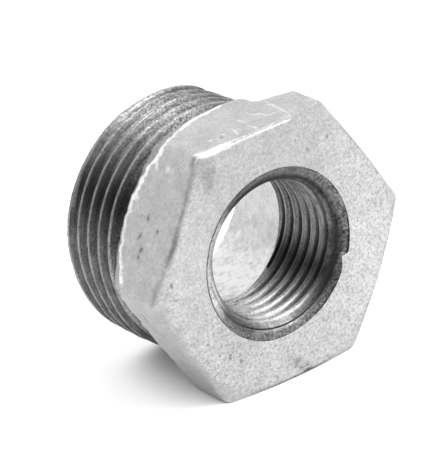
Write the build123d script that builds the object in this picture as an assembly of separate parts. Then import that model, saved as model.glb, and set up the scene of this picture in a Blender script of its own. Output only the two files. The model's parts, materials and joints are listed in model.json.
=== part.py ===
from build123d import *
import math
import os

# A hexagon reducing bushing, cast in malleable iron, hot-dip galvanised and then threaded.
# It is one piece. A taper pipe thread is cut on the outside of its spigot, a smaller pipe
# thread is cut inside the hexagon, and the casting's cored hole is left plain behind that.
# Millimetres. The origin is the middle of the front face, where the smaller pipe enters.
# The fitting's axis runs along +Y, from the front face to the spigot's end, and +Z is up,
# with the fitting lying on one flat of its hexagon.

# Driving dimensions of the whole fitting
TOTAL_LENGTH = 24.4
HEX_ACROSS_FLATS = 36.0
HEX_LENGTH = 11.3
HEX_SIDES = 6

# Edges of the hexagon: both ends are coned off, and the casting's edges are round
FACE_CONE_DIAMETER = 35.0
FACE_CONE_ANGLE = 18.0
BACK_CONE_DIAMETER = 34.7
BACK_CONE_ANGLE = 52.0
HEX_CORNER_RADIUS = 1.0
HEX_EDGE_RADIUS = 0.5

# Outer thread: R 1, tapered 1 in 16 on diameter, 11 turns an inch, 55 degree flanks
MALE_GAUGE_DIAMETER = 33.249
MALE_GAUGE_LENGTH = 10.391
MALE_PITCH = 2.309
MALE_TAPER = 1 / 16
MALE_LAST_CREST_SETBACK = 0.3
MALE_END_CHAMFER = 0.15
NECK_LENGTH = 1.6
SHOULDER_ANGLE = 45.0

# Inner thread: Rp 1/2, parallel, 14 turns an inch, 55 degree flanks
FEMALE_MAJOR_DIAMETER = 20.955
FEMALE_PITCH = 1.814
FEMALE_THREAD_LENGTH = 12.0
FEMALE_CREST_PLACE = 9.47

# The mouth's cone and the cored hole behind the thread are both wider than the thread, by these
# amounts on diameter. The cored hole widens towards the spigot's end by the core's draft.
MOUTH_WIDER = 2.745
MOUTH_CONE_ANGLE = 30.0
CAVITY_WIDER = 1.245
CAVITY_DRAFT = 0.8

# Shape of a 55 degree pipe thread, as shares of its pitch. The crest and the root are flats
# as wide as the rounded crest and root of the real thread.
THREAD_LAND = 1 / 6
THREAD_FLANK = (1 - 2 * THREAD_LAND) / 2
THREAD_HALF_ANGLE = 27.5

# How far a cutting outline runs past what it cuts, and how close counts as touching
SPARE = 1.0
FOOT_OVERLAP = 0.15
TOUCHING = 0.001


def thread_depth(pitch):
    """Depth of the thread, from its flank's width along the axis and its angle."""
    return pitch * THREAD_FLANK / math.tan(math.radians(THREAD_HALF_ANGLE))


def male_crest_radius(y):
    """Radius over the outer thread's crests, which grows away from the spigot's end."""
    small_end = (MALE_GAUGE_DIAMETER - MALE_GAUGE_LENGTH * MALE_TAPER) / 2
    return small_end + (TOTAL_LENGTH - y) * MALE_TAPER / 2


def turned(points):
    """A solid of revolution about the fitting's axis, from its outline as (radius, y)."""
    return revolve(make_face(Polyline(*points, close=True)), axis=Axis.Y)


def hexagon_head():
    """Hexagonal prism with round corners, coned off at the front and more steeply behind."""
    corner_radius = HEX_ACROSS_FLATS / 2 / math.cos(math.pi / HEX_SIDES)
    front_plane = Plane(origin=(0, 0, 0), x_dir=(1, 0, 0), z_dir=(0, 1, 0))
    section = front_plane * RegularPolygon(corner_radius, HEX_SIDES)
    prism = extrude(section, HEX_LENGTH)
    prism = fillet(prism.edges().filter_by(Axis.Y), HEX_CORNER_RADIUS)
    reach = corner_radius + SPARE
    front = (reach - FACE_CONE_DIAMETER / 2) * math.tan(math.radians(FACE_CONE_ANGLE))
    back = (reach - BACK_CONE_DIAMETER / 2) * math.tan(math.radians(BACK_CONE_ANGLE))
    cones = turned(
        [
            (0, 0),
            (FACE_CONE_DIAMETER / 2, 0),
            (reach, front),
            (reach, HEX_LENGTH - back),
            (BACK_CONE_DIAMETER / 2, HEX_LENGTH),
            (0, HEX_LENGTH),
        ]
    )
    head = prism & cones
    planes = head.faces().filter_by(GeomType.PLANE)
    flats = [face for face in planes if abs(face.normal_at().Y) < TOUCHING]
    rims = [edge for edge in head.edges() if is_rim(edge, flats)]
    return fillet(rims, HEX_EDGE_RADIUS)


def is_rim(edge, flats):
    """Is this one of the curved edges between a flat and a cone?"""
    curved = edge.geom_type != GeomType.LINE
    return curved and any(flat.distance_to(edge.center()) < TOUCHING for flat in flats)


def swept_thread(section, pitch, radius, first, turns, lean):
    """A section carried along a right-handed helix. The helix starts on the right (+X), half a
    pitch before its first place on the left (-X). It climbs +Z and is then laid along +Y."""
    low = first - pitch / 2
    cone = -math.degrees(math.atan(lean))
    path = Helix(pitch, turns * pitch, radius, (0, 0, low), cone_angle=cone)
    outline = [(radius + rise, low + shift) for rise, shift in section]
    face = Plane.XZ * make_face(Polyline(*outline, close=True))
    return Rotation(-90, 0, 0) * sweep(face, path=path, is_frenet=True)


def thread_section(pitch):
    """Trapezoid of a ridge or a groove as (rise, shift). Its foot is sunk by the overlap."""
    depth = thread_depth(pitch)
    half_land = pitch * THREAD_LAND / 2
    foot = half_land + (depth + FOOT_OVERLAP) * math.tan(math.radians(THREAD_HALF_ANGLE))
    return [(-FOOT_OVERLAP, -foot), (depth, -half_land), (depth, half_land), (-FOOT_OVERLAP, foot)]


def male_ridge():
    """The outer thread's ridge, on its taper, from inside the neck to past the spigot's end."""
    last = TOTAL_LENGTH - MALE_LAST_CREST_SETBACK
    turns = math.ceil((TOTAL_LENGTH - HEX_LENGTH) / MALE_PITCH)
    first = last - (turns - 1) * MALE_PITCH
    root = male_crest_radius(first - MALE_PITCH / 2) - thread_depth(MALE_PITCH)
    section = thread_section(MALE_PITCH)
    return swept_thread(section, MALE_PITCH, root, first, turns + 1, MALE_TAPER / 2)


def female_groove():
    """The inner thread's groove, from before the mouth to inside the cored hole."""
    minor = FEMALE_MAJOR_DIAMETER / 2 - thread_depth(FEMALE_PITCH)
    before = math.ceil((FEMALE_CREST_PLACE + SPARE) / FEMALE_PITCH)
    after = math.ceil((FEMALE_THREAD_LENGTH - FEMALE_CREST_PLACE) / FEMALE_PITCH)
    first = FEMALE_CREST_PLACE - (before - 0.5) * FEMALE_PITCH
    section = thread_section(FEMALE_PITCH)
    return swept_thread(section, FEMALE_PITCH, minor, first, before + after + 1, 0)


def spigot():
    """Neck and tapered thread, from inside the hexagon to the spigot's end. The core and the
    ridge run past the end by different lengths, and the end cone trims both."""
    depth = thread_depth(MALE_PITCH)
    buried = HEX_LENGTH - SPARE
    past = TOTAL_LENGTH + 2 * SPARE
    core = turned(
        [
            (0, buried),
            (male_crest_radius(buried) - depth, buried),
            (male_crest_radius(past) - depth, past),
            (0, past),
        ]
    )
    neck_end = HEX_LENGTH + NECK_LENGTH
    foot = male_crest_radius(neck_end) - depth
    reach = depth + SPARE
    shoulder = turned(
        [
            (0, neck_end),
            (foot, neck_end),
            (foot + reach, neck_end + reach * math.tan(math.radians(SHOULDER_ANGLE))),
            (foot + reach, TOTAL_LENGTH + SPARE),
            (0, TOTAL_LENGTH + SPARE),
        ]
    )
    chamfer_top = male_crest_radius(TOTAL_LENGTH)
    end_cone = turned(
        [
            (0, 0),
            (chamfer_top + SPARE, 0),
            (chamfer_top + SPARE, TOTAL_LENGTH - MALE_END_CHAMFER - SPARE),
            (chamfer_top - MALE_END_CHAMFER, TOTAL_LENGTH),
            (0, TOTAL_LENGTH),
        ]
    )
    return (core + (male_ridge() & shoulder)) & end_cone


def waterway():
    """Everything that is open inside: mouth, inner thread and the cored hole behind it."""
    depth = thread_depth(FEMALE_PITCH)
    major = FEMALE_MAJOR_DIAMETER / 2
    minor = major - depth
    mouth_radius = major + MOUTH_WIDER / 2
    cavity_radius = major + CAVITY_WIDER / 2
    slope = math.tan(math.radians(MOUTH_CONE_ANGLE))
    mouth_depth = (mouth_radius - minor) * slope
    past = FEMALE_THREAD_LENGTH + 2 * SPARE
    mouth = turned(
        [
            (0, -SPARE),
            (mouth_radius + SPARE / slope, -SPARE),
            (minor, mouth_depth),
            (0, mouth_depth),
        ]
    )
    bore = turned([(0, -SPARE), (minor, -SPARE), (minor, past), (0, past)])
    room = turned(
        [
            (0, -SPARE / 2),
            (major + SPARE, -SPARE / 2),
            (major + SPARE, past - SPARE / 2),
            (0, past - SPARE / 2),
        ]
    )
    cored = turned(
        [
            (0, FEMALE_THREAD_LENGTH),
            (cavity_radius, FEMALE_THREAD_LENGTH),
            (cavity_radius + CAVITY_DRAFT / 2, TOTAL_LENGTH),
            (cavity_radius + CAVITY_DRAFT / 2, TOTAL_LENGTH + SPARE),
            (0, TOTAL_LENGTH + SPARE),
        ]
    )
    return mouth + (bore + (female_groove() & room)) + cored


def parted(faces, plane):
    """The faces cut in two by a plane, and those that it misses as they are."""
    sides = [side for face in faces for side in face.split(plane, keep=Keep.BOTH)]
    return [piece for side in sides if side is not None for piece in side.faces()]


def crest_in_quarters(body):
    """The same body, with its inner thread's crest divided into faces of a quarter turn. A face
    that long lies close round its own middle, where the wall of a hole is measured."""
    minor = FEMALE_MAJOR_DIAMETER / 2 - thread_depth(FEMALE_PITCH)
    round_faces = body.faces().filter_by(GeomType.CYLINDER)
    crest = [face for face in round_faces if abs(face.radius - minor) < TOUCHING]
    rest = [face for face in body.faces() if face not in crest]
    return Solid(Shell(rest + parted(parted(crest, Plane.XY), Plane.YZ)))


hex_bushing = crest_in_quarters((hexagon_head() + spigot() - waterway()).solid())

os.makedirs("parts", exist_ok=True)
export_step(hex_bushing, "parts/hex_bushing.step")
print("volume mm3", round(hex_bushing.volume, 1))
print("centre of mass", hex_bushing.center(CenterOf.MASS))
print("solids", len(hex_bushing.solids()), "faces", len(hex_bushing.faces()))
print("valid", hex_bushing.is_valid)
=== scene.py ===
"""A hexagon reducing bushing in galvanised malleable iron, lying on one flat of its hexagon.

The fitting is one piece, so its whole skin is one closed surface in two parameters: the way
along its cross section, and the angle about its axis. The axis runs along +Y from the front
face to the end of the spigot, and angles are counted from +X towards +Z.
"""
import json
import math
import bpy
import numpy as np
from mathutils import Matrix, Quaternion, Vector


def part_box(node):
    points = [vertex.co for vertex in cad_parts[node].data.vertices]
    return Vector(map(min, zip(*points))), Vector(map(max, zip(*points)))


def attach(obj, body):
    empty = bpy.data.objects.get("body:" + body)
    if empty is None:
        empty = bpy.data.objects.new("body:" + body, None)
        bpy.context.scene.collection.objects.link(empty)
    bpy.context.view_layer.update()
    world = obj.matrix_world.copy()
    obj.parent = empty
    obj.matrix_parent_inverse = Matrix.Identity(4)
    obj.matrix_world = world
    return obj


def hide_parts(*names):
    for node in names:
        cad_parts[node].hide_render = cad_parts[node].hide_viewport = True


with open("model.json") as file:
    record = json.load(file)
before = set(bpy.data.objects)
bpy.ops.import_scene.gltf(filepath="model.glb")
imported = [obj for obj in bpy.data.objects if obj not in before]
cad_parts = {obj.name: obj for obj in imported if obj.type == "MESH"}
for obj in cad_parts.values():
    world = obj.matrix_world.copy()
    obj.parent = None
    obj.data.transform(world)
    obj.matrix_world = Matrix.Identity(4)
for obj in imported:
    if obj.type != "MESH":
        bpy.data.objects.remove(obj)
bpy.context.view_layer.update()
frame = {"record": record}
MM = 0.001

# Sizes that the frame gives
LOW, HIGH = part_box("hex_bushing")
LENGTH = HIGH.y - LOW.y
ACROSS_FLATS = HIGH.z - LOW.z
MOUNTS = {mount["name"]: mount for mount in frame["record"]["mounts"]}
INNER_CREST_RADIUS = MOUNTS["female_thread"]["dims"]["r_mm"] * MM
OUTER_CREST_RADIUS = MOUNTS["male_thread"]["dims"]["r_mm"] * MM

# The hexagon: its length, the flat ring on each end and the cones that cut its corners
HEX_LENGTH = 11.3 * MM
FACE_RING = 17.5 * MM
FACE_SLOPE = math.tan(math.radians(18))
BACK_RING = 17.35 * MM
BACK_SLOPE = math.tan(math.radians(52.5))
BACK_FALL = math.tan(math.radians(62))
CORNER_SHARPNESS = 85
NECK_RADIUS = 15.15 * MM

# Angles of the middles of the flats that the photograph shows, in degrees
TOP_FLAT = 90
LEFT_FLAT = 150
LOW_LEFT_FLAT = 210

# The lower left flat was ground away at the back, from this far behind the front face
GROUND_START = 7.7 * MM
GROUND_FALL = math.tan(math.radians(66))

# On the left the flats' rear edge is uneven, by waves in these numbers round the axis
RIM_WAVES = (31, 47, 62, 83)
RIM_UNEVEN = 0.28 * MM

# The right end of the top flat is a facet of its own, a little lower and shorter
FACET_FROM = 5.5 * MM
FACET_SIDE_LEAN = 1 / 9
FACET_REAR = 8.1 * MM
FACET_REAR_FROM = 4.7 * MM
FACET_REAR_LEAN = 0.31
FACET_DROP = 0.14 * MM

# Outer thread, 11 turns an inch on a taper of 1 in 16. It is out of round by a bell round the axis,
# with its centre and width in degrees.
OUTER_PITCH = 25.4 * MM / 11
OUTER_TAPER = 1 / 32
OUTER_CREST_Y = 24.10 * MM
OUTER_START = 12.9 * MM
SHOULDER_START = 13.5 * MM
OUT_OF_ROUND = 0.8 * MM
OUT_OF_ROUND_WHERE = (236, 28)

# The last turn ends in a plain ring: its radius in millimetres by the angle in degrees, the two
# pairs of angles between which it fades in and out, and the chamfer behind it
END_RING = (
    (45, 16.35), (60, 16.5), (76, 16.5), (84, 16.4), (92, 16.2), (100, 16.08), (110, 16.14), (130, 16.08),
    (150, 16.14), (165, 16.22), (185, 16.27), (195, 16.36), (205, 16.54), (215, 16.74), (225, 16.96),
    (240, 17.05), (270, 16.6), (300, 16.35),
)
END_RING_STARTS = (45, 65)
END_RING_STOPS = (215, 240)
END_CHAMFER = 0.08 * MM

# Inner thread, 14 turns an inch, and the share of its profile that the tap's hole left
INNER_PITCH = 25.4 * MM / 14
INNER_CREST_Y = 9.47 * MM
INNER_END = 12.0 * MM
INNER_CREST_CUT = 0.8

# A 55 degree pipe thread as shares of its pitch: its depth and the radius of its arcs
THREAD_DEPTH = 0.640327
THREAD_ARC = 0.137329
THREAD_HALF_ANGLE = math.radians(27.5)

# The mouth of the bore, with the burr where the first turn of its thread breaks out
MOUTH_RADIUS = 11.88 * MM
MOUTH_SLOPE = math.tan(math.radians(60))
LIP = 0.05 * MM
BURR_ANGLE = -20.5
BURR_DROP = 0.75 * MM
BURR_REACH = 8
LOW_DROP = 0.32 * MM
LOW_REACH = 75

# The cored hole behind the inner thread
CORE_FRONT = 11.1 * MM
CORE_REAR = 11.5 * MM

# Stretches round the axis: the angles in degrees where each starts and stops, and how softly
UNEVEN_RIM = (114, 236, 4)
DRESSED_EDGES = (64, 236, 6)
BROAD_EDGE = (188, 234, 8)
ON_LEFT_FLAT = (121, 179, 2)

# Bells round the axis, centre and width in degrees: the corner that was knocked, where the
# threads and the cored hole are painted lighter as light, where they are painted darker as shade, and
# where they are speckled
KNOCKED_CORNER = (114, 7)
OUTER_PAINTED_LIGHT = (92, 20)
OUTER_PAINTED_SHADE = (149, 19)
OUTER_SPECKLED = (95, 28)
INNER_PAINTED_LIGHT = (-94, 20)
INNER_PAINTED_SHADE = (-38, 24)
CORED_PAINTED_LIGHT = (-64, 28)

# Density of the surface: columns about the axis, rows on a rounding and rows in a thread's turn.
# Points closer than the last distance are one.
COLUMNS = 300
CROWDING = 0.55
ROUND_ROWS = 5
TURN_STEPS = (-0.12, -0.06, 0.0, 0.06, 0.12, 0.25, 0.38, 0.44, 0.5, 0.56, 0.62, 0.75)
JOINED = 1e-4 * MM


def linear(code):
    """A colour for a shader from an sRGB hex code, as linear red, green, blue and 1."""
    parts = [int(code[i:i + 2], 16) / 255 for i in (1, 3, 5)]
    return [p / 12.92 if p <= 0.04045 else ((p + 0.055) / 1.055) ** 2.4 for p in parts] + [1.0]


def smooth_step(low, high, value):
    """0 below low, 1 above high, and 3 t^2 - 2 t^3 between them."""
    t = np.clip((value - low) / (high - low), 0, 1)
    return t * t * (3 - 2 * t)


def bell(value, centre, width):
    """1 at the centre, falling off on both sides: exp(-((value - centre) / width)^2)."""
    return np.exp(-((value - centre) / width) ** 2)


def window(value, low, high, soft):
    """1 between two values, falling to 0 over a soft width past each."""
    return smooth_step(low - soft, low, value) * (1 - smooth_step(high, high + soft, value))


def soft_min(a, b, width):
    """The smaller of two values, rounded where they cross: (a + b - sqrt((a-b)^2 + width^2)) / 2."""
    return (a + b - np.sqrt((a - b) ** 2 + width ** 2)) / 2


def soft_max(a, b, width):
    """The larger of two values, rounded where they cross."""
    return -soft_min(-a, -b, width)


def turn_from(theta, centre):
    """Angle from a centre given in degrees, in degrees from -180 to 180."""
    return (np.degrees(theta) - centre + 180) % 360 - 180


def bell_round(theta, centre, width):
    """A bell round the axis, from its centre and its width in degrees."""
    return bell(turn_from(theta, centre), 0, width)


def column_angles():
    """Angles about the axis, closer together at the six corners: u minus a share of sin(6u) / 6."""
    u = np.linspace(0, 2 * math.pi, COLUMNS + 1)
    return u - CROWDING * np.sin(6 * u) / 6


def hexagon_radius(theta):
    """Radius of a hexagon with round corners.

    The cosine of the angle from each flat's middle is raised to a high power, and the six are
    added. Half the width across flats times that sum to the power -1/power is the radius.
    """
    middles = np.radians(30 + 60 * np.arange(6))
    lean = np.maximum(np.cos(theta[..., None] - middles), 0)
    total = (lean ** CORNER_SHARPNESS).sum(axis=-1)
    return ACROSS_FLATS / 2 * total ** (-1 / CORNER_SHARPNESS)


def on_ground_flat(theta):
    """1 on the flat that was ground away at the back, 0 on the others, soft at its corners."""
    off = np.abs(turn_from(theta, LOW_LEFT_FLAT))
    return 1 - smooth_step(25, 31, off)


def front_crease(theta):
    """How far back a flat's front edge lies: the front cone's height at the hexagon's radius,
    and more where the edge is a broad rounding."""
    return (hexagon_radius(theta) - FACE_RING) * FACE_SLOPE + 0.45 * MM * soft_edge(theta)


def on_facet(theta):
    """1 on the facet at the top flat's right end, 0 elsewhere."""
    degrees = np.degrees(theta)
    left = math.degrees(math.atan2(ACROSS_FLATS / 2, FACET_FROM))
    return smooth_step(56, 60, degrees) * (1 - smooth_step(left, left + 4, degrees))


def rear_crease(theta):
    """How far back a flat's rear edge lies, on the back cone, the ground flat or the top facet. On
    the left it wanders by a mean of sine waves round the axis."""
    regular = HEX_LENGTH - (hexagon_radius(theta) - BACK_RING) * BACK_SLOPE
    ground = soft_min(regular, GROUND_START + 0 * theta, 0.3 * MM)
    share = on_ground_flat(theta)
    crease = regular * (1 - share) + ground * share
    across = hexagon_radius(theta) * np.cos(theta)
    facet_rear = FACET_REAR - (across - FACET_REAR_FROM) * FACET_REAR_LEAN
    facet = soft_min(crease, facet_rear, 0.3 * MM)
    share = on_facet(theta)
    crease = crease * (1 - share) + facet * share
    uneven = sum(np.sin(number * theta + number) for number in RIM_WAVES) / len(RIM_WAVES)
    return crease + RIM_UNEVEN * uneven * window(np.degrees(theta), *UNEVEN_RIM)


def rear_ring(theta):
    """Radius where the slope behind a flat's rear edge meets the hexagon's rear face."""
    share = on_ground_flat(theta)
    fall = BACK_FALL * (1 - share) + GROUND_FALL * share
    return hexagon_radius(theta) - (HEX_LENGTH - rear_crease(theta)) / fall


def mouth_radius(theta):
    """Radius of the bore's mouth: the cone's, less a drop at the burr that fades as a bell, and
    less a smaller one that lasts to the bottom of the bore."""
    past = (BURR_ANGLE - np.degrees(theta)) % 360
    tongue = BURR_DROP * np.exp(-(past / BURR_REACH) ** 2)
    low = LOW_DROP * (1 - smooth_step(LOW_REACH - 20, LOW_REACH + 20, past))
    return MOUTH_RADIUS - smooth_step(0, 1.5, past) * (tongue + low)


def thread_height(turns):
    """Height of a 55 degree pipe thread, 0 in the root and 1 on the crest, by turns from a crest.

    Between the arcs the flank is straight, at the half angle from square to the axis. The crest
    and the root are arcs of 0.1373 of the pitch that run into the flanks.
    """
    from_crest = np.abs((turns + 0.5) % 1 - 0.5)
    from_end = np.minimum(from_crest, 0.5 - from_crest)
    reach = THREAD_ARC * math.cos(THREAD_HALF_ANGLE)
    sag = THREAD_ARC - np.sqrt(np.maximum(THREAD_ARC ** 2 - from_end ** 2, 0))
    flank = THREAD_DEPTH / 2 + (0.25 - from_crest) / math.tan(THREAD_HALF_ANGLE)
    height = np.where(from_crest < reach, THREAD_DEPTH - sag, flank)
    height = np.where(from_crest > 0.5 - reach, sag, height)
    return height / THREAD_DEPTH


def helical_rows(start, end, pitch, crest, theta):
    """Rows that climb with a right-handed helix, held between two ends.

    A row's place is the crest's place at 180 degrees plus the pitch times its turns, less the
    pitch times the share of a turn from 180 degrees. Past an end it stays on that end, so the
    first and the last column hold the same points, one pitch apart in their count.
    """
    first = math.floor((start - crest) / pitch) - 2
    last = math.ceil((end - crest) / pitch) + 2
    turns = np.add.outer(np.arange(first, last + 1), TURN_STEPS).ravel()
    climb = (theta - math.pi) / (2 * math.pi)
    rows = crest + pitch * (turns[:, None] - climb[None, :])
    inside = (rows.max(axis=1) > start) & (rows.min(axis=1) < end)
    rows = np.clip(rows[inside], start, end)
    ends = [np.full((1, len(theta)), value) for value in (start, end)]
    return np.concatenate([ends[0], rows, ends[1]])


def outer_thread(theta):
    """Section of the spigot, and its thread's height: the tapered thread under a shoulder cone, a
    plain ring and an end chamfer. Low on the left it stands out of round, by a bell over the
    angle."""
    y = helical_rows(OUTER_START, LENGTH, OUTER_PITCH, OUTER_CREST_Y, theta)
    turns = (y - OUTER_CREST_Y) / OUTER_PITCH + (theta - math.pi) / (2 * math.pi)
    height = thread_height(turns)
    bulge = OUT_OF_ROUND * bell_round(theta, *OUT_OF_ROUND_WHERE)
    crest = OUTER_CREST_RADIUS + (LENGTH - y) * OUTER_TAPER + bulge
    radius = crest - THREAD_DEPTH * OUTER_PITCH * (1 - height)
    radius = soft_min(radius, NECK_RADIUS + (y - SHOULDER_START), 0.1 * MM)
    radius = soft_max(radius, NECK_RADIUS + 0 * y, 0.05 * MM)
    degrees = np.degrees(theta)
    ring = np.interp(degrees, *zip(*END_RING)) * MM
    turned = smooth_step(*END_RING_STARTS, degrees) * (1 - smooth_step(*END_RING_STOPS, degrees))
    turned = turned * smooth_step(LENGTH - 0.8 * MM, LENGTH - 0.4 * MM, y)
    radius = radius + turned * (ring - radius)
    height = np.maximum(height, turned)
    end = np.maximum(ring, OUTER_CREST_RADIUS) - END_CHAMFER
    radius = soft_min(radius, end + (LENGTH - y), 0.05 * MM)
    return np.stack([radius, y], axis=1), height


def inner_thread(theta):
    """Section of the bore, and its thread's height, from the cored hole to the lip. The mouth's
    cone opens it. The profile's top fifth is missing, which leaves flat crests, and the rest is
    stretched to the full depth, which keeps the bore's clear radius."""
    y = helical_rows(LIP, INNER_END, INNER_PITCH, INNER_CREST_Y, theta)[::-1]
    turns = (y - INNER_CREST_Y) / INNER_PITCH + (theta - math.pi) / (2 * math.pi)
    height = soft_min(thread_height(turns), INNER_CREST_CUT + 0 * y, 0.06) / INNER_CREST_CUT
    radius = INNER_CREST_RADIUS + THREAD_DEPTH * INNER_PITCH * (1 - height)
    cone = mouth_radius(theta) - y * MOUTH_SLOPE
    on_cone = smooth_step(-0.05 * MM, 0.05 * MM, cone - radius)
    height = height + (0.6 - height) * on_cone
    return np.stack([soft_max(radius, cone, 0.06 * MM), y], axis=1), height


def line(start, end, rows):
    """Rows on a straight line after its start: (1 - t) times the start plus t times the end."""
    t = np.arange(1, rows + 1)[:, None, None] / rows
    return (1 - t) * start + t * end


def bend(start, corner, end, rows):
    """Rows on a curve of second order: (1-t)^2 start + 2t(1-t) corner + t^2 end."""
    t = np.arange(1, rows + 1)[:, None, None] / rows
    return (1 - t) ** 2 * start + 2 * t * (1 - t) * corner + t ** 2 * end


def distance(start, end):
    """Straight distance between two points of the section, for each column."""
    return np.hypot(end[0] - start[0], end[1] - start[1])


def towards(start, end):
    """Unit steps from one point of the section to another, for each column."""
    return (end - start) / np.maximum(distance(start, end), 1e-9)


def rounded_section(corners, rounding, rows):
    """A section through corners. Each inner corner is bent over a given length on both sides,
    or over just under half of a side that is too short for that."""
    parts = [corners[0][None]]
    here = corners[0]
    for i in range(1, len(corners) - 1):
        before = np.minimum(rounding[i - 1], 0.48 * distance(corners[i], corners[i - 1]))
        after = np.minimum(rounding[i - 1], 0.48 * distance(corners[i], corners[i + 1]))
        enter = corners[i] + before * towards(corners[i], corners[i - 1])
        leave = corners[i] + after * towards(corners[i], corners[i + 1])
        parts.append(line(here, enter, rows[i - 1]))
        parts.append(bend(enter, corners[i], leave, ROUND_ROWS))
        here = leave
    parts.append(line(here, corners[-1], rows[-1]))
    return np.concatenate(parts)


def point(radius, y, theta):
    """A point of the section in every column, from a radius and a place that may vary with the angle."""
    return np.stack([radius + 0 * theta, y + 0 * theta])


def dressed(theta):
    """1 on the front edges that were dressed by hand, along the top and the left, 0 elsewhere."""
    return window(np.degrees(theta), *DRESSED_EDGES)


def soft_edge(theta):
    """1 along the lower left flat, whose front edge is a broad rounding, 0 elsewhere."""
    return window(np.degrees(theta), *BROAD_EDGE)


def edge_wear(theta):
    """Length over which the flats' front edges are rounded: more where they were dressed, at the
    knocked corner and along the broad edge."""
    knocked = bell_round(theta, *KNOCKED_CORNER)
    return (0.15 + 0.25 * dressed(theta) + 0.45 * knocked + 0.55 * soft_edge(theta)) * MM


def worn_ring(theta):
    """Radius where the front cone starts: a dressed edge is cut back all along, a broad one more."""
    back = 0.22 + 0.40 * dressed(theta) + 0.75 * soft_edge(theta)
    return np.minimum(FACE_RING, hexagon_radius(theta) - back * MM)


def hexagon_section(theta):
    """Section from the lip over the front face, the flats and the back cone to the spigot."""
    flat = hexagon_radius(theta)
    lip = mouth_radius(theta)
    corners = [
        point(lip - LIP * MOUTH_SLOPE, LIP, theta),
        point(lip, 0, theta),
        point(worn_ring(theta), 0, theta),
        point(flat, front_crease(theta), theta),
        point(flat, rear_crease(theta), theta),
        point(rear_ring(theta), HEX_LENGTH, theta),
        point(NECK_RADIUS, HEX_LENGTH, theta),
        point(NECK_RADIUS, OUTER_START, theta),
    ]
    lip_round, rear_round, neck_round = 0.1 * MM, 0.35 * MM, 0.7 * MM
    ring_round = (0.15 + 0.15 * dressed(theta) + 0.5 * soft_edge(theta)) * MM
    rounding = [lip_round, ring_round, edge_wear(theta), rear_round, rear_round, neck_round]
    rows = [2, 16, 2, 24, 4, 4, 3]
    return rounded_section(corners, rounding, rows)


def rear_section(theta, end_radius, thread_radius):
    """Section from the spigot's end over its rim and through the cored hole to the inner thread."""
    corners = [
        point(end_radius, LENGTH, theta),
        point(CORE_REAR, LENGTH, theta),
        point(CORE_FRONT, INNER_END, theta),
        point(thread_radius, INNER_END, theta),
    ]
    rim_round, step_round = 0.3 * MM, 0.5 * MM
    return rounded_section(corners, [rim_round, step_round], [7, 20, 3])


def waves(points, length, seed, count=28):
    """A smooth random field about 0: the sum of sine waves in random directions, over the root
    of half their count."""
    draw = np.random.default_rng(seed)
    heading = draw.normal(size=(count, 3))
    heading /= np.linalg.norm(heading, axis=1)[:, None]
    number = 2 * math.pi / (length * draw.uniform(0.7, 1.5, count))
    phase = draw.uniform(0, 2 * math.pi, count)
    total = np.zeros(points.shape[:-1])
    for k in range(count):
        total += np.sin(points @ heading[k] * number[k] + phase[k])
    return total / math.sqrt(count / 2)


def cast_surface(places):
    """Moves the surface as casting and dipping leave it: radial on the flats and in the cored
    hole, along the axis on the front face, and slight on what was cut."""
    x, y, z = np.moveaxis(places, -1, 0)
    radius = np.hypot(x, z)
    outside = smooth_step(16.2 * MM, 17.6 * MM, radius)
    face = smooth_step(1.2 * MM, 0.1 * MM, y) * smooth_step(12.0 * MM, 12.8 * MM, radius)
    neck = smooth_step(14.0 * MM, 14.8 * MM, radius) * (1 - outside) * smooth_step(10 * MM, 11.4 * MM, y)
    core = smooth_step(12.2 * MM, 13.5 * MM, y) * smooth_step(13.0 * MM, 12.4 * MM, radius)
    broad = waves(places, 7 * MM, 1)
    lumps = waves(places, 2.6 * MM, 2)
    grit = waves(places, 0.8 * MM, 3)
    out = outside * (0.05 * broad + 0.028 * lumps + 0.006 * grit) * (1 - face)
    out += core * (0.05 * broad + 0.034 * lumps + 0.012 * grit)
    out += neck * 0.018 * grit
    back = -face * (0.02 * broad + 0.012 * lumps + 0.004 * grit)
    step = FACET_FROM - FACET_SIDE_LEAN * (y - 1 * MM)
    facet = smooth_step(step - 0.15 * MM, step + 0.15 * MM, x) * smooth_step(17.2 * MM, 17.6 * MM, z)
    facet *= smooth_step(10.3 * MM, 9.6 * MM, x) * smooth_step(0.4 * MM, 1.0 * MM, y)
    out -= facet * outside * FACET_DROP / MM
    moved = places + np.stack([x / radius * out, back, z / radius * out], axis=-1) * MM
    moved[..., 2] = np.maximum(moved[..., 2], LOW.z)
    return moved


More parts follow.
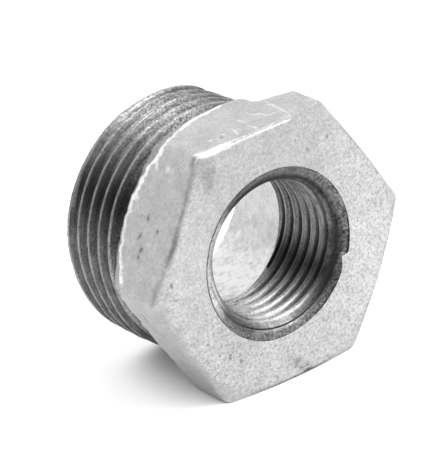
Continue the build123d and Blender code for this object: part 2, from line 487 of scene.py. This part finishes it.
def closed_surface():
    """The skin as a grid of points, with the values that its materials read at each point, and the
    part of the fitting that each row belongs to.

    The values are "tone", a share of the zinc's grey or the grey of the iron, with painted light and
    shade in it; "sand", how coarse the grain is; "bare", 1 in the cored hole; and "wear_and_highlight",
    how far an edge was worn bright and is painted with a highlight."""
    theta = column_angles()
    spigot, spigot_height = outer_thread(theta)
    bore, bore_height = inner_thread(theta)
    head = hexagon_section(theta)
    rear = rear_section(theta, spigot[-1, 0], bore[0, 0])
    section = np.concatenate([head, spigot, rear, bore])
    counts = [len(head), len(spigot), len(rear), len(bore)]
    kinds = np.repeat(["head", "spigot", "rear", "bore"], counts)
    radius, y = section[:, 0], section[:, 1]
    turn = np.broadcast_to(theta, radius.shape)
    places = np.stack([radius * np.cos(turn), y, radius * np.sin(turn)], axis=-1)
    tone = np.ones(radius.shape)
    wear_and_highlight = np.zeros(radius.shape)
    head, rear = kinds == "head", kinds == "rear"
    tone[head], wear_and_highlight[head] = zinc_tone(places[head], turn[head], radius[head])
    tone[rear] = cored_tone(places[rear], turn[rear])
    tone[kinds == "spigot"] = outer_cut_tone(theta, spigot_height)
    tone[kinds == "bore"] = inner_cut_tone(theta, places[kinds == "bore"], bore_height)
    sand = smooth_step(0.9 * MM, 0.2 * MM, y) * blasted(places)
    sand[head] = np.maximum(sand[head], behind_rim(places[head], turn[head]))
    neck = smooth_step(15.2 * MM, 13.8 * MM, y)
    speckled = 0.55 * bell_round(turn, *OUTER_SPECKLED) + 0.9 * neck + 0.12
    sand[kinds == "spigot"] = speckled[kinds == "spigot"]
    bare = rear[:, None] * smooth_step(INNER_END, INNER_END + MM, y)
    return cast_surface(places), {"tone": tone, "sand": sand, "bare": bare, "wear_and_highlight": wear_and_highlight}, kinds


def blasted(places):
    """How coarse the front face's grain is: full along the bottom, about a third high on the left."""
    x, z = places[..., 0] / MM, places[..., 2] / MM
    return 0.35 + 0.65 * smooth_step(-12, 14, 0.5 * x - z)


# Place along the left flat, and how far the dark line lies in from its front edge
CREASE_WANDER = (
    (-9, -0.6), (-8, -0.3), (-4, 0.15), (0, 0.15), (2, 0.3), (4, 0.1), (6, 0), (8, -0.6), (9.5, -0.35),
)
# Stretches of the rear edges that were worn bright and are painted with a highlight: two angles, how
# softly they end, how bright
WORN_AND_HIGHLIT_REAR = ((87, 108, 4, 1.0), (111, 122, 3, 0.75), (125, 137, 4, 1.0), (140, 176, 3, 0.8))
# Soft stains on the left flat: distance behind the front face and place along the flat
LEFT_STAINS = ((6.1, -0.4), (3.6, 0.8), (6.6, 2.1), (5.6, 3.8), (5.8, 4.8))


def crease_wander(along):
    """How far the dark line on the left flat's front edge strays from it, by the place along the
    flat. Both are in millimetres."""
    return np.interp(along, *zip(*CREASE_WANDER))


def worn_and_highlit_edges(y, theta, radius, ragged):
    """How far the zinc was worn bright and is painted with a highlight: along the top's front edge, and
    in stretches along the rear edges from the top down to the left."""
    degrees = np.degrees(theta)
    past_front = (hexagon_radius(theta) - radius) / MM - y
    rear_off = np.hypot((radius - hexagon_radius(theta)) / MM, y - rear_crease(theta) / MM)
    knocked = window(degrees, 108, 121, 4)
    front = window(degrees, 74, 121, 5) * bell(past_front, 0.30 - 0.15 * knocked, 0.28 + 0.50 * knocked)
    stretches = sum(share * window(degrees, low, high, soft) for low, high, soft, share in WORN_AND_HIGHLIT_REAR)
    return np.clip(front + stretches * bell(rear_off, 0.15, 0.7 + 0.2 * ragged), 0, 1)


def zinc_tone(places, theta, radius):
    """Light and dark of the zinc, 1 where it is plain: its own marks, painted shade and painted light;
    and how far it was worn bright and is painted with a highlight.

    Distances in from the front edge are measured over the face and over the flat: the radius
    that is missing to the flat's, less the distance behind the face."""
    x, y, z = np.moveaxis(places, -1, 0) / MM
    degrees = np.degrees(theta)
    past_front = (hexagon_radius(theta) - radius) / MM - y
    along = np.hypot(x, z) * np.sin(np.radians(degrees - LEFT_FLAT))
    on_left = window(degrees, *ON_LEFT_FLAT)
    ragged = waves(places, 1.1 * MM, 11)
    broad = waves(places, 4.5 * MM, 12)

    # A dark line along the left flat's front edge, stains on the left flat, and darker patches on the
    # face high on the left, near the right corner and a stain low down.
    crease = on_left * bell(past_front, crease_wander(along), 0.55) * (0.85 + 0.2 * broad)
    stains = sum(bell(y, a, 0.35) * bell(along, b, 0.5) for a, b in LEFT_STAINS)
    stains = stains * on_left * np.clip(0.8 + 0.5 * ragged, 0, 1)
    # Painted shade on the rounding of the right and bottom front edges.
    right_edge_shade = (1 - dressed(theta)) * bell(past_front, -0.05, 0.25)
    top_left = bell(x, -9.6, 1.7) * bell(z, 14.6, 2.6) * (y < 0.6) * (0.6 + 0.5 * broad + 0.25 * ragged)
    right_corner = bell(x, 18.6, 1.4) * bell(z, 1.6, 1.6) * (y < 0.8)
    bottom = bell(x, 1.6, 1.3) * bell(z + 0.95 * x, -15.4, 0.8) * (y < 0.8) * (0.8 + 0.5 * ragged)
    # The dark marks above, with painted shade behind the flats' rear edges and on the right and bottom
    # front edges.
    dirt_and_shade = 0.62 * np.clip(crease, 0, 1) + 0.34 * np.clip(top_left, 0, 1) + 0.15 * right_corner
    dirt_and_shade += 0.95 * bottom + 0.2 * stains + 0.42 * behind_rim(places, theta)
    dirt_and_shade += (0.3 + 0.35 * window(degrees, 246, 294, 4)) * right_edge_shade

    # Painted shade on the left and lower left flats, deepest towards the back of the lower left one, and
    # painted light that makes the face lighter towards its sides.
    shade = 0.07 * window(degrees, 126, 175, 4) + 0.10 * window(degrees, 183, 238, 6)
    shade += 0.16 * window(degrees, 222, 238, 8) * smooth_step(0.5, 3.0, y)
    lit_sides = 0.11 * smooth_step(5, 15, x) + 0.19 * smooth_step(-5, -15, x) - 0.07
    face = 1 + smooth_step(0.8, 0.2, y) * lit_sides
    tone = (1 - shade) * (1 - np.clip(dirt_and_shade, 0, 0.8)) * face
    return tone, worn_and_highlit_edges(y, theta, radius, ragged)


def behind_rim(places, theta):
    """1 behind the flats' rear edges, down to the neck, 0 elsewhere."""
    x, y, z = np.moveaxis(places, -1, 0) / MM
    back = smooth_step(0.15, 0.45, y - rear_crease(theta) / MM)
    return back * smooth_step(15.4, 15.8, np.hypot(x, z))


def cored_tone(places, theta):
    """Light and dark in the cored hole: painted light, lightest low on the right, and faintly mottled
    there.
    """
    low = bell_round(theta, *CORED_PAINTED_LIGHT)
    return 1.10 + (0.72 + 0.22 * waves(places, 1.1 * MM, 14)) * low


# Greys of the cut iron: the outer thread's flanks, plain and lit for painted light, and its crests, the
# inner thread's flanks, plain and lit, and the mouth's cone, which is bright on the left together with
# the first turn
OUTER_FLANK = linear("#6a6a6a")[0]
OUTER_FLANK_LIT = linear("#a3a3a3")[0]
OUTER_CREST = linear("#9b9b9b")[0]
INNER_FLANK = linear("#767676")[0]
INNER_FLANK_LIT = linear("#cbcbcb")[0]
MOUTH_GREY = linear("#7d7d7d")[0]
MOUTH_BRIGHT = linear("#e7e7e7")[0]


def outer_cut_tone(theta, height):
    """The outer thread's grey: painted light on top, painted shade high on the left, and its crests
    worn bright and painted with highlights all the way round."""
    # Painted light on the top of the spigot and painted shade high on its left.
    pale = bell_round(theta, *OUTER_PAINTED_LIGHT)
    painted_shade = bell_round(theta, *OUTER_PAINTED_SHADE)
    flank = (OUTER_FLANK + (OUTER_FLANK_LIT - OUTER_FLANK) * pale) * (1 - 0.87 * painted_shade)
    crest_wear_and_highlight = smooth_step(0.92, 1.0, height)
    crest = OUTER_CREST + 0.12 * pale - 0.10 * painted_shade
    return flank * (1 - crest_wear_and_highlight) + crest * crest_wear_and_highlight


def inner_cut_tone(theta, places, height):
    """The inner thread's grey: painted light along the bottom and painted shade on its lower right, with
    crests worn bright and painted with highlights, and painted shade in its roots. The mouth's cone is a
    dull strip all round, bright on the left, and a strip of painted shadow lies behind it on the upper
    side."""
    y = places[..., 1] / MM
    pale = bell_round(theta, *INNER_PAINTED_LIGHT)
    painted_shade = bell_round(theta, *INNER_PAINTED_SHADE)
    thread = (INNER_FLANK + (INNER_FLANK_LIT - INNER_FLANK) * pale) * (1 - 0.88 * painted_shade)
    crest_wear_and_highlight = smooth_step(0.75, 1.0, height)
    # Painted shade in the thread's roots.
    root = smooth_step(0.28 - 0.12 * pale, 0.02, height) * (1 - 0.4 * painted_shade) * smooth_step(12, 11, y)
    thread = thread * (1 - 0.88 * root) * (1 + 1.2 * crest_wear_and_highlight * (1 - 0.6 * pale))
    strip = MOUTH_GREY * (1 - 0.6 * painted_shade)
    degrees = np.degrees(theta + 0 * y)
    left = window(degrees, 146, 194, 24)
    strip = strip + left * (MOUTH_BRIGHT * smooth_step(0.10, 0.25, y) - strip)
    thread = thread + left * smooth_step(2.6, 1.4, y) * (MOUTH_BRIGHT - thread)
    upper = window(degrees, 0, 110, 25) + window(degrees, 340, 400, 25)
    # Painted shadow in a strip behind the mouth's cone on the upper side.
    band = 0.85 * bell(y, 0.95, 0.24) * np.clip(upper, 0, 1)
    # A darker patch near the notch.
    dark_patch = 0.6 * bell_round(theta, -9, 11) * bell(y, 1.2, 0.8)
    notch = bell_round(theta, -4, 16) + bell_round(theta, 36, 12)
    flecks = smooth_step(0.5, 1.6, np.abs(waves(places, 0.75 * MM, 21))) * smooth_step(2.2, 0.8, y)
    flecks = flecks * (0.35 + 0.5 * np.clip(notch, 0, 1))
    inner = smooth_step(0.4, 0.65, y)
    return (strip * (1 - inner) + thread * inner) * (1 - band) * (1 - dark_patch) * (1 - flecks)


def skin_mesh(name):
    """One closed mesh from the grid: quads between rows and columns, joined where ends meet."""
    places, values, kinds = closed_surface()
    rows, columns = places.shape[:2]
    index = np.arange(rows * columns).reshape(rows, columns)
    after = np.roll(index, -1, axis=0)
    quads = np.stack([index[:, :-1], after[:, :-1], after[:, 1:], index[:, 1:]], axis=-1)
    _, first, same = np.unique(
        np.round(places.reshape(-1, 3) / JOINED).astype(np.int64),
        axis=0, return_index=True, return_inverse=True,
    )
    quads = same.reshape(-1)[quads.reshape(-1, 4)]
    cut_rows = (kinds == "spigot") | (kinds == "bore")
    cut = np.repeat(cut_rows, columns - 1)
    vertices = places.reshape(-1, 3)[first]
    faces, cut = clean_faces(quads, cut)
    mesh = bpy.data.meshes.new(name)
    mesh.from_pydata(vertices, [], faces)
    mesh.polygons.foreach_set("material_index", np.array(cut, int))
    mesh.shade_smooth()
    for key, value in values.items():
        store(mesh, key, value.reshape(-1)[first])
    mesh.update()
    return mesh


def clean_faces(quads, cut):
    """Leaves out corners that fell together, and faces with fewer than three corners left."""
    faces, kept = [], []
    for quad, flag in zip(quads.tolist(), cut.tolist()):
        corners = list(dict.fromkeys(quad))
        if len(corners) > 2:
            faces.append(corners)
            kept.append(flag)
    return faces, kept


def store(mesh, name, values):
    """Keeps a value for each vertex as an attribute that a material can read."""
    attribute = mesh.attributes.new(name, "FLOAT", "POINT")
    attribute.data.foreach_set("value", np.asarray(values, np.float32))


def add(tree, kind, sockets=None, **settings):
    """Adds a node with its settings. A socket is linked if it is given an output, and else set."""
    node = tree.nodes.new("ShaderNode" + kind)
    for key, value in settings.items():
        setattr(node, key, value)
    for key, value in (sockets or {}).items():
        if isinstance(value, bpy.types.NodeSocket):
            tree.links.new(value, node.inputs[key])
        else:
            node.inputs[key].default_value = value
    return node


def looking_ray(tree):
    """1 for a ray from the camera, in gloss or through glass, and 0 for one that only lights."""
    path = add(tree, "LightPath").outputs
    seen = add(tree, "Math", {0: path["Is Camera Ray"], 1: path["Is Glossy Ray"]}, operation="MAXIMUM")
    through = path["Is Transmission Ray"]
    return add(tree, "Math", {0: seen.outputs[0], 1: through}, operation="MAXIMUM").outputs[0]


def new_material(name):
    """An empty node material with its output node."""
    material = bpy.data.materials.new(name)
    material.use_nodes = True
    material.node_tree.nodes.clear()
    return material, material.node_tree, add(material.node_tree, "OutputMaterial")


def on_flat(middle, y, along):
    """A place on one of the hexagon's flats, in millimetres. It is named by the angle of the
    flat's middle, the distance behind the front face and the way along the flat, in the sense in
    which angles grow."""
    turn = math.radians(middle)
    half = ACROSS_FLATS / 2 / MM
    x = half * math.cos(turn) - along * math.sin(turn)
    z = half * math.sin(turn) + along * math.cos(turn)
    return Vector((x, y, z))


# Marks in millimetres: where thicker zinc ran, painted bright as highlights, with a painted highlight
# along the step at the top facet's edge, and specks of grime. Each is a streak from one place to another,
# with its half width. On a flat, a place is its distance behind the front face and the way along the
# flat. On the front face it is its x and z.
ZINC_RUNS_AND_HIGHLIGHTS = (
    (TOP_FLAT, (5.07, -1.88), (3.65, -2.93), 0.20),
    (TOP_FLAT, (3.65, -2.93), (2.74, -3.21), 0.18),
    (TOP_FLAT, (2.74, -3.21), (2.59, -4.09), 0.18),
    (TOP_FLAT, (4.30, 0.21), (3.25, 0.20), 0.20),
    (TOP_FLAT, (1.95, 0.39), (0.69, 0.21), 0.18),
    (TOP_FLAT, (2.80, 2.53), (1.37, 2.99), 0.20),
    (TOP_FLAT, (2.6, 6.55), (2.5, 6.45), 0.24),
    (TOP_FLAT, (2.6, 4.25), (2.5, 4.2), 0.21),
    (TOP_FLAT, (6.4, -5.9), (3.6, -5.5), 0.24),
    (TOP_FLAT, (3.6, -5.5), (1.0, -5.2), 0.21),
    (LEFT_FLAT, (5.1, -7.4), (5.0, -7.3), 0.29),
    (LEFT_FLAT, (9.6, -2.4), (9.5, -2.3), 0.33),
    (LEFT_FLAT, (7.9, -7.9), (7.3, -6.9), 0.25),
)
FLAT_SPECKS = (
    (TOP_FLAT, (2.0, 4.96), (1.9, 4.9), 0.20),
    (LEFT_FLAT, (6.1, -0.45), (6.1, -0.35), 0.30),
    (LEFT_FLAT, (3.6, 0.75), (3.6, 0.85), 0.26),
    (LEFT_FLAT, (6.6, 2.1), (6.6, 2.2), 0.29),
    (LEFT_FLAT, (5.6, 3.7), (5.7, 3.9), 0.26),
    (LEFT_FLAT, (5.8, 4.75), (5.8, 4.85), 0.26),
    (LOW_LEFT_FLAT, (5.0, -7.0), (5.2, -4.9), 0.13),
    (LOW_LEFT_FLAT, (5.2, -4.9), (3.7, -2.2), 0.12),
)
FACE_SPECKS = (
    ((-17.35, 2.15), (-17.25, 2.15), 0.20),
    ((-20.3, 0.75), (-16.4, -0.2), 0.10),
    ((-10.1, -11.0), (-9.7, -11.0), 0.14),
    ((8.2, 18.0), (8.2, 17.9), 0.16),
    ((6.8, 12.4), (6.9, 12.4), 0.14),
    ((10.0, 13.2), (10.1, 13.2), 0.14),
    ((5.1, 14.3), (5.2, 14.3), 0.12),
    ((-8.3, -12.3), (-8.2, -12.3), 0.14),
    ((-13.0, -8.0), (-12.9, -8.0), 0.14),
    ((19.1, 2.4), (19.0, 2.3), 0.17),
)


def listed_streaks():
    """The marks of thicker zinc with the painted highlights, and the specks of grime, each as two places
    and a half width.
    """
    runs_and_highlights, specks = (
        [(on_flat(flat, *start), on_flat(flat, *end), width) for flat, start, end, width in marks]
        for marks in (ZINC_RUNS_AND_HIGHLIGHTS, FLAT_SPECKS)
    )
    for start, end, width in FACE_SPECKS:
        specks.append((Vector((start[0], 0, start[1])), Vector((end[0], 0, end[1])), width))
    return runs_and_highlights, specks


def mark_shares(tree, place):
    """How far a place belongs to a bright mark, a zinc run with a painted highlight, and to a speck of
    grime. Their outlines are ragged, because the places are first moved by a fine noise."""
    noise = add(tree, "TexNoise", {
        "Vector": place, "Scale": 1 / (0.7 * MM), "Detail": 3.0, "Roughness": 0.7,
    })
    move = add(tree, "VectorMath", {0: noise.outputs["Color"], 1: (0.5, 0.5, 0.5)}, operation="SUBTRACT")
    move = add(tree, "VectorMath", {0: move.outputs[0], "Scale": 1.1 * MM}, operation="SCALE")
    moved = add(tree, "VectorMath", {0: place, 1: move.outputs[0]}, operation="ADD").outputs[0]
    shares = []
    for marks in listed_streaks():
        total = 0.0
        for start, end, half_width in marks:
            near = streak(tree, moved, start, end, half_width)
            total = add(tree, "Math", {0: near, 1: total}, operation="MAXIMUM").outputs[0]
        shares.append(total)
    return shares


def streak(tree, place, start, end, half_width):
    """1 inside a long ball from one place to another, 0 outside, soft between: the length of the
    place's vector in the ball's own frame, in which its half length and half widths are 1."""
    along = end - start
    size = (along.length / 2 + half_width, half_width, 2 * half_width)
    in_ball = add(tree, "Mapping", {
        "Vector": place, "Location": (start + end) / 2 * MM,
        "Rotation": along.to_track_quat("X", "Z").to_euler(), "Scale": [s * MM for s in size],
    }, vector_type="TEXTURE")
    off = add(tree, "VectorMath", {0: in_ball.outputs[0]}, operation="LENGTH")
    near = add(tree, "MapRange", {
        "Value": off.outputs["Value"], "From Min": 0.4, "From Max": 1.6, "To Min": 1.0, "To Max": 0.0,
    })
    return near.outputs[0]


def hot_dip_zinc():
    """Hot-dip galvanised iron. The dip leaves a pale satin skin, mottled from a tenth of a
    millimetre to a few.

    Where "sand" is high, the skin was dressed and shows a coarse, pitted grain. "wear_and_highlight"
    brightens broken patches along the edges, where the zinc is worn and a highlight is painted, and
    "bare" is the smoother metal of the cored hole. Runs of thick zinc are raised and painted bright as
    highlights, as is the step at the top facet's edge, and specks of grime are dark. The real grain is a
    tenth of a millimetre, too fine to show, so it is drawn at 0.4 mm with finer waves on it."""
    material, tree, output = new_material("hot_dip_zinc")
    place = add(tree, "TexCoord").outputs["Object"]
    names = ("tone", "sand", "bare", "wear_and_highlight")
    values = [add(tree, "Attribute", attribute_name=name).outputs["Fac"] for name in names]
    tone, sand, bare, wear_and_highlight = values
    grain = add(tree, "TexNoise", {
        "Vector": place, "Scale": 1 / (0.45 * MM), "Detail": 3.0, "Roughness": 0.85,
    })
    fine_dark, fine_pale = linear("#afafaf")[0], linear("#d4d4d4")[0]
    coarse_dark, coarse_pale = linear("#818181")[0], linear("#dddddd")[0]
    dark = add(tree, "MapRange", {"Value": sand, "To Min": fine_dark, "To Max": coarse_dark})
    pale = add(tree, "MapRange", {"Value": sand, "To Min": fine_pale, "To Max": coarse_pale})
    full = add(tree, "MapRange", {"Value": sand, "To Min": 0.7, "To Max": 0.54})
    zinc = add(tree, "MapRange", {
        "Value": grain.outputs["Fac"], "From Min": 0.27, "From Max": full.outputs[0],
        "To Min": dark.outputs[0], "To Max": pale.outputs[0],
    })
    cloud = add(tree, "TexNoise", {
        "Vector": place, "Scale": 1 / (2.2 * MM), "Detail": 3.0, "Roughness": 0.65,
    })
    cloud = add(tree, "MapRange", {
        "Value": cloud.outputs["Fac"], "From Min": 0.35, "From Max": 0.65, "To Min": 0.91, "To Max": 1.09,
    })
    pits = add(tree, "TexNoise", {"Vector": place, "Scale": 1 / (0.4 * MM), "Detail": 1.0})
    deepest = add(tree, "MapRange", {"Value": sand, "To Min": 0.88, "To Max": 0.5})
    pit = add(tree, "MapRange", {
        "Value": pits.outputs["Fac"], "From Min": 0.64, "From Max": 0.76,
        "To Min": 1.0, "To Max": deepest.outputs[0],
    })
    broken = add(tree, "TexNoise", {
        "Vector": place, "Scale": 1 / (0.5 * MM), "Detail": 3.0, "Roughness": 0.75,
    }).outputs["Fac"]
    # Painted highlight and wear: broken bright patches along the edges.
    patch = add(tree, "Math", {0: wear_and_highlight, 1: broken}, operation="ADD")
    patch = add(tree, "MapRange", {
        "Value": patch.outputs[0], "From Min": 1.0, "From Max": 1.35, "To Min": 1.0, "To Max": 1.9,
    })
    runs_and_highlights, specks = mark_shares(tree, place)
    # Runs of thick zinc and the step at the facet's edge, painted bright as highlights.
    gaps = add(tree, "MapRange", {"Value": broken, "From Min": 0.3, "From Max": 0.5})
    runs_and_highlights = add(tree, "Math", {0: runs_and_highlights, 1: gaps.outputs[0]}, operation="MULTIPLY").outputs[0]
    run = add(tree, "MapRange", {"Value": runs_and_highlights, "To Min": 1.0, "To Max": 1.6})
    speck = add(tree, "MapRange", {"Value": specks, "To Min": 1.0, "To Max": 0.42})
    grey = tone
    for factor in (zinc, cloud, pit, patch, run, speck):
        grey = add(tree, "Math", {0: grey, 1: factor.outputs[0]}, operation="MULTIPLY").outputs[0]
    colour = add(tree, "CombineColor", {0: grey, 1: grey, 2: grey})
    rough_cast = add(tree, "Math", {0: bare, 1: 0.35, 2: sand}, operation="MULTIPLY_ADD")
    relief = add(tree, "MapRange", {"Value": rough_cast.outputs[0], "To Min": 0.15, "To Max": 0.35})
    height = add(tree, "Math", {0: runs_and_highlights, 1: 3.0, 2: zinc.outputs[0]}, operation="MULTIPLY_ADD")
    bump = add(tree, "Bump", {
        "Height": height.outputs[0], "Strength": relief.outputs[0], "Distance": 0.15 * MM,
    })
    metal = add(tree, "MapRange", {"Value": bare, "To Min": 0.5, "To Max": 0.8})
    rough = add(tree, "MapRange", {"Value": bare, "To Min": 0.45, "To Max": 0.36})
    shader = add(tree, "BsdfPrincipled", {
        "Base Color": colour.outputs[0], "Metallic": metal.outputs[0],
        "Roughness": rough.outputs[0], "Normal": bump.outputs[0],
    })
    tree.links.new(shader.outputs[0], output.inputs["Surface"])
    return material


def cut_thread_iron():
    """Threads cut after dipping. The tool leaves bare grey iron with marks that run round the axis.

    "tone" is its grey, with painted light and painted shade, and bright where crests were worn and are
    painted with highlights, and "sand" speckles it with dark and light dots. The tool's real marks are
    too fine to show, so they are drawn
    0.25 mm wide and 2.5 mm long."""
    material, tree, output = new_material("cut_thread_iron")
    place = add(tree, "TexCoord").outputs["Object"]
    tone = add(tree, "Attribute", attribute_name="tone").outputs["Fac"]
    sand = add(tree, "Attribute", attribute_name="sand").outputs["Fac"]
    per_mark = [1 / (size * MM) for size in (2.5, 0.25, 2.5)]
    drawn_out = add(tree, "Mapping", {"Vector": place, "Scale": per_mark})
    marks = add(tree, "TexNoise", {
        "Vector": drawn_out.outputs[0], "Scale": 1.0, "Detail": 3.0, "Roughness": 0.7,
    })
    grain = add(tree, "TexNoise", {
        "Vector": place, "Scale": 1 / (0.3 * MM), "Detail": 3.0, "Roughness": 0.8,
    })
    both = add(tree, "Math", {0: marks.outputs["Fac"], 1: grain.outputs["Fac"]}, operation="ADD")
    mottle = add(tree, "MapRange", {
        "Value": both.outputs[0], "From Min": 0.72, "From Max": 1.28, "To Min": 0.42, "To Max": 1.6,
    })
    dark = add(tree, "MapRange", {"Value": sand, "To Min": 1.0, "To Max": 0.35})
    light = add(tree, "MapRange", {"Value": sand, "To Min": 1.0, "To Max": 1.6})
    dots = add(tree, "TexNoise", {"Vector": place, "Scale": 1 / (0.28 * MM), "Detail": 2.0})
    dots = add(tree, "MapRange", {
        "Value": dots.outputs["Fac"], "From Min": 0.36, "From Max": 0.64,
        "To Min": dark.outputs[0], "To Max": light.outputs[0],
    })
    grey = add(tree, "Math", {0: mottle.outputs[0], 1: tone}, operation="MULTIPLY")
    grey = add(tree, "Math", {0: grey.outputs[0], 1: dots.outputs[0]}, operation="MULTIPLY").outputs[0]
    colour = add(tree, "CombineColor", {0: grey, 1: grey, 2: grey})
    bump = add(tree, "Bump", {"Height": both.outputs[0], "Strength": 0.4, "Distance": 0.08 * MM})
    shader = add(tree, "BsdfPrincipled", {
        "Base Color": colour.outputs[0], "Metallic": 0.7, "Roughness": 0.45, "Normal": bump.outputs[0]
    })
    tree.links.new(shader.outputs[0], output.inputs["Surface"])
    return material


def make_bushing():
    """The fitting: one closed skin in galvanised zinc, with its threads in bare iron."""
    mesh = skin_mesh("hex_bushing_skin")
    mesh.materials.append(hot_dip_zinc())
    mesh.materials.append(cut_thread_iron())
    piece = bpy.data.objects.new("hex_bushing_skin", mesh)
    bpy.context.scene.collection.objects.link(piece)
    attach(piece, "root")
    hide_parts("hex_bushing")
    return piece


# The table: half its width, its colour, and how far away the fitting still darkens it. Where the
# open share of the sky grows from the first to the second value, a glow lifts it to white.
TABLE_REACH = 3.0
TABLE_WHITE = "#dcdcdc"
SHADE_REACH = 60 * MM
SHADED_SKY = 0.22
OPEN_SKY = 0.52
TABLE_LIFT = 0.60

# Strength of the white surround as a light, and where it is looked at
SURROUND_LIGHT = 0.76
SURROUND_SEEN = 1.0


def make_floor():
    """A white table that keeps the shadow. Where it is looked at, a glow lifts it to white, less
    where the fitting covers the sky, so the shadow deepens towards the fitting."""
    half = TABLE_REACH
    corners = [(-half, -half, LOW.z), (half, -half, LOW.z), (half, half, LOW.z), (-half, half, LOW.z)]
    mesh = bpy.data.meshes.new("floor")
    mesh.from_pydata(corners, [], [(0, 1, 2, 3)])
    floor = bpy.data.objects.new("floor", mesh)
    bpy.context.scene.collection.objects.link(floor)
    material, tree, output = new_material("white_table")
    sky = add(tree, "AmbientOcclusion", {"Distance": SHADE_REACH}, samples=16)
    bright = add(tree, "MapRange", {
        "Value": sky.outputs["AO"], "From Min": SHADED_SKY, "From Max": OPEN_SKY,
        "To Min": 0.0, "To Max": TABLE_LIFT,
    })
    lift = add(tree, "Math", {0: looking_ray(tree), 1: bright.outputs[0]}, operation="MULTIPLY")
    glow = add(tree, "Emission", {"Color": linear("#ffffff"), "Strength": lift.outputs[0]})
    matt = add(tree, "BsdfDiffuse", {"Color": linear(TABLE_WHITE)})
    both = add(tree, "AddShader", {0: glow.outputs[0], 1: matt.outputs[0]})
    tree.links.new(both.outputs[0], output.inputs["Surface"])
    mesh.materials.append(material)


def make_world():
    """Even white light, and a white surround where the camera or a gloss looks past the table."""
    world = bpy.data.worlds.new("studio")
    bpy.context.scene.world = world
    world.use_nodes = True
    tree = world.node_tree
    tree.nodes.clear()
    strength = add(tree, "MapRange", {
        "Value": looking_ray(tree), "To Min": SURROUND_LIGHT, "To Max": SURROUND_SEEN,
    })
    light = add(tree, "Background", {"Color": linear("#ffffff"), "Strength": strength.outputs[0]})
    output = add(tree, "OutputWorld")
    tree.links.new(light.outputs[0], output.inputs["Surface"])


# The lamp: one broad square in front, to the right and above, so that the shadow falls behind and
# to the left. Its angles are in degrees and its power in watts.
LAMP_AZIMUTH = 17
LAMP_ELEVATION = 63
LAMP_DISTANCE = 0.8
LAMP_SIZE = 0.35
LAMP_POWER = 3.0

# The photograph's camera: far off with a long lens, above the fitting's front and left, and rolled.
# Its angles are in degrees, and the film and lens in millimetres.
CAMERA_AZIMUTH = -34.443
CAMERA_ELEVATION = 24.528
CAMERA_ROLL = -8.011
CAMERA_DISTANCE = 1068.5 * MM
CAMERA_AIM = Vector((0.137, 12.351, 0.443)) * MM
FILM_WIDTH = 36.0
LENS = 661.93


def direction(azimuth, elevation):
    """Unit step outwards, by degrees from the fitting's front towards its right, and upwards."""
    turn, rise = math.radians(azimuth), math.radians(elevation)
    return Vector((math.sin(turn) * math.cos(rise), -math.cos(turn) * math.cos(rise), math.sin(rise)))


def make_lamp():
    """The soft lamp, which points at the middle of the fitting."""
    lamp = bpy.data.lights.new("front_key", "AREA")
    lamp.size = LAMP_SIZE
    lamp.energy = LAMP_POWER
    holder = bpy.data.objects.new("front_key", lamp)
    out = direction(LAMP_AZIMUTH, LAMP_ELEVATION)
    holder.location = Vector((0, LENGTH / 2, 0)) + LAMP_DISTANCE * out
    holder.rotation_euler = out.to_track_quat("Z", "Y").to_euler()
    bpy.context.scene.collection.objects.link(holder)


def make_camera():
    """Looks from its azimuth and elevation at the aim, then turns about its own axis by the roll."""
    out = direction(CAMERA_AZIMUTH, CAMERA_ELEVATION)
    data = bpy.data.cameras.new("camera")
    data.sensor_fit = "HORIZONTAL"
    data.sensor_width = FILM_WIDTH
    data.lens = LENS
    data.clip_start = 0.05
    data.clip_end = 20
    camera = bpy.data.objects.new("camera", data)
    turn = out.to_track_quat("Z", "Y") @ Quaternion((0, 0, 1), math.radians(CAMERA_ROLL))
    place = Matrix.Translation(CAMERA_AIM + CAMERA_DISTANCE * out)
    camera.matrix_world = place @ turn.to_matrix().to_4x4()
    bpy.context.scene.collection.objects.link(camera)
    bpy.context.scene.camera = camera


make_bushing()
make_floor()
make_world()
make_lamp()
make_camera()
bpy.context.scene.view_settings.view_transform = "Standard"
